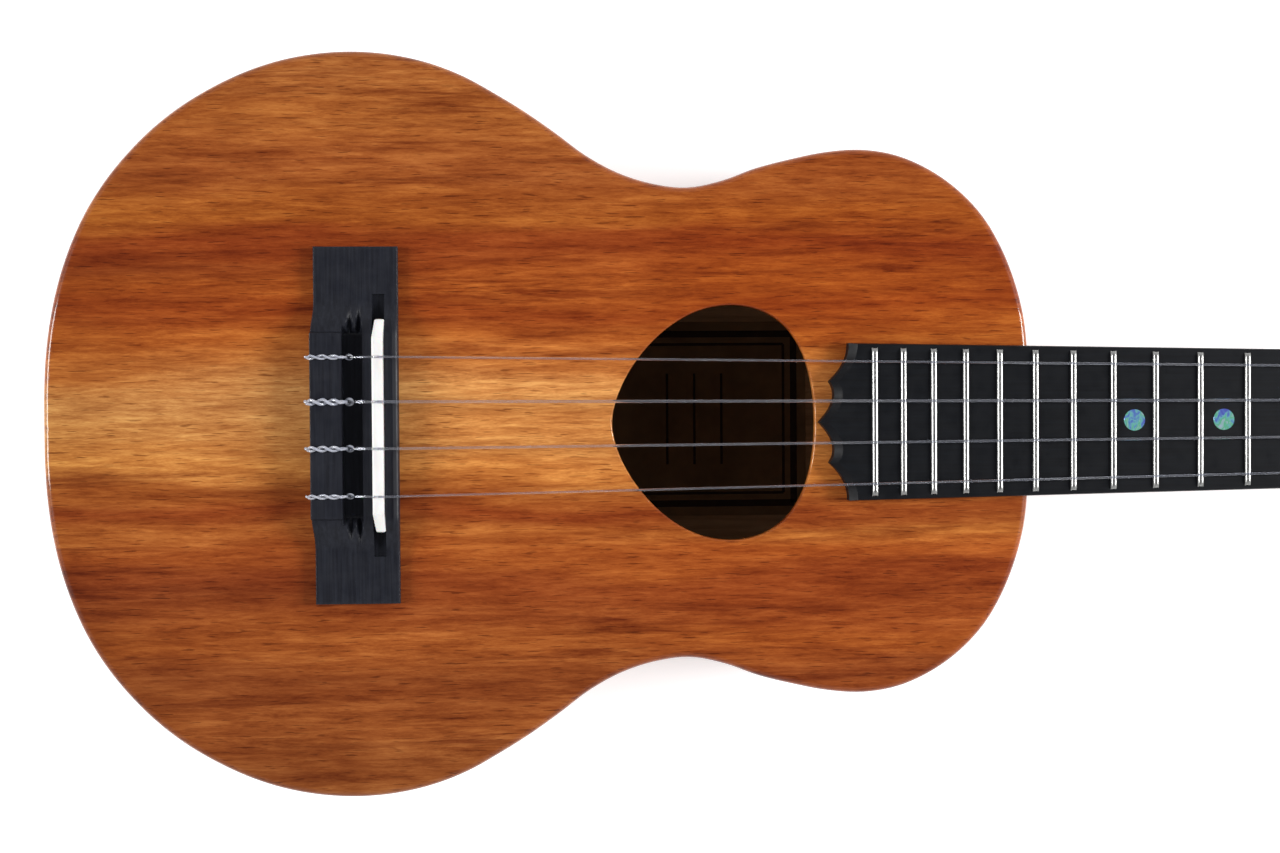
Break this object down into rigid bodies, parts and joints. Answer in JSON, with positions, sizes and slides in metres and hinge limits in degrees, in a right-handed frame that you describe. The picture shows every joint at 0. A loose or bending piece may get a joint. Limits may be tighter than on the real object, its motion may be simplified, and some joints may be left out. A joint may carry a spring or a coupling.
{
  "type": "ukulele",
  "caption": "Tenor-size ukulele with a hollow figure-of-eight body, egg-shaped soundhole, tied bridge, fretted neck and geared tuners that turn the string posts.",
  "frame": {"origin": "on the centre line, halfway along the body, on the outer flat face of the back", "axes": "+X from the tail towards the headstock, +Y to the fourth-string side, +Z out of the soundboard"},
  "size_m": [0.664, 0.22, 0.0822],
  "materials": {
    "koa_top": "satin, figured",
    "koa_back": "satin, figured",
    "koa_sides": "satin",
    "mahogany": "satin",
    "spruce": "unfinished",
    "ebony": "satin black",
    "bone": "polished bone",
    "paper": "aged matt",
    "string": "clear",
    "fret_wire": "polished nickel silver",
    "tuner_metal": "nickel",
    "tuner_button": "polished black"
  },
  "bodies": {
    "instrument": {"soundboard": "koa_top", "back_plate": "koa_back", "side_bass": "koa_sides", "side_treble": "koa_sides", "lining_top_bass": "spruce", "lining_back_bass": "spruce", "lining_top_treble": "spruce", "lining_back_treble": "spruce", "tail_block": "mahogany", "neck_block": "mahogany", "upper_transverse_brace": "spruce", "lower_transverse_brace": "spruce", "fan_brace_bass": "spruce", "fan_brace_treble": "spruce", "bridge_plate": "spruce", "back_brace_upper": "spruce", "back_brace_lower": "spruce", "paper_label": "paper", "bridge": "ebony", "saddle": "bone", "neck": "mahogany", "heel_cap": "ebony", "fingerboard": "ebony", "nut": "bone", "headstock_veneer": "koa_back", "fret_01": "fret_wire", "fret_02": "fret_wire", "fret_03": "fret_wire", "fret_04": "fret_wire", "fret_05": "fret_wire", "fret_06": "fret_wire", "fret_07": "fret_wire", "fret_08": "fret_wire", "fret_09": "fret_wire", "fret_10": "fret_wire", "fret_11": "fret_wire", "fret_12": "fret_wire", "fret_13": "fret_wire", "fret_14": "fret_wire", "fret_15": "fret_wire", "fret_16": "fret_wire", "fret_17": "fret_wire", "fret_18": "fret_wire", "fret_19": "fret_wire", "string_g": "string", "string_c": "string", "string_e": "string", "string_a": "string", "tuner_plate_1": "tuner_metal", "tuner_plate_2": "tuner_metal", "tuner_plate_3": "tuner_metal", "tuner_plate_4": "tuner_metal"},
    "button_1": {"tuner_button_1": "tuner_button"},
    "post_1": {"tuner_post_1": "tuner_metal"},
    "button_2": {"tuner_button_2": "tuner_button"},
    "post_2": {"tuner_post_2": "tuner_metal"},
    "button_3": {"tuner_button_3": "tuner_button"},
    "post_3": {"tuner_post_3": "tuner_metal"},
    "button_4": {"tuner_button_4": "tuner_button"},
    "post_4": {"tuner_post_4": "tuner_metal"}
  },
  "joints": [
    {"name": "button_1_turn", "type": "hinge", "parent": "instrument", "child": "button_1", "pos_m": [0.41519, 0.017, 0.04672], "axis": [0, 1, 0], "continuous": true},
    {"name": "post_1_turn", "type": "hinge", "parent": "instrument", "child": "post_1", "pos_m": [0.42601, 0.017, 0.06252], "axis": [0.2079, 0, 0.9781], "continuous": true},
    {"name": "button_2_turn", "type": "hinge", "parent": "instrument", "child": "button_2", "pos_m": [0.46214, 0.017, 0.03674], "axis": [0, 1, 0], "continuous": true},
    {"name": "post_2_turn", "type": "hinge", "parent": "instrument", "child": "post_2", "pos_m": [0.47296, 0.017, 0.05254], "axis": [0.2079, 0, 0.9781], "continuous": true},
    {"name": "button_3_turn", "type": "hinge", "parent": "instrument", "child": "button_3", "pos_m": [0.46214, -0.017, 0.03674], "axis": [0, 1, 0], "continuous": true},
    {"name": "post_3_turn", "type": "hinge", "parent": "instrument", "child": "post_3", "pos_m": [0.47296, -0.017, 0.05254], "axis": [0.2079, 0, 0.9781], "continuous": true},
    {"name": "button_4_turn", "type": "hinge", "parent": "instrument", "child": "button_4", "pos_m": [0.41519, -0.017, 0.04672], "axis": [0, 1, 0], "continuous": true},
    {"name": "post_4_turn", "type": "hinge", "parent": "instrument", "child": "post_4", "pos_m": [0.42601, -0.017, 0.06252], "axis": [0.2079, 0, 0.9781], "continuous": true}
  ],
  "couplings": [
    {"joint": "post_1_turn", "follows": "button_1_turn", "ratio": 0.071429},
    {"joint": "post_2_turn", "follows": "button_2_turn", "ratio": 0.071429},
    {"joint": "post_3_turn", "follows": "button_3_turn", "ratio": 0.071429},
    {"joint": "post_4_turn", "follows": "button_4_turn", "ratio": 0.071429}
  ]
}
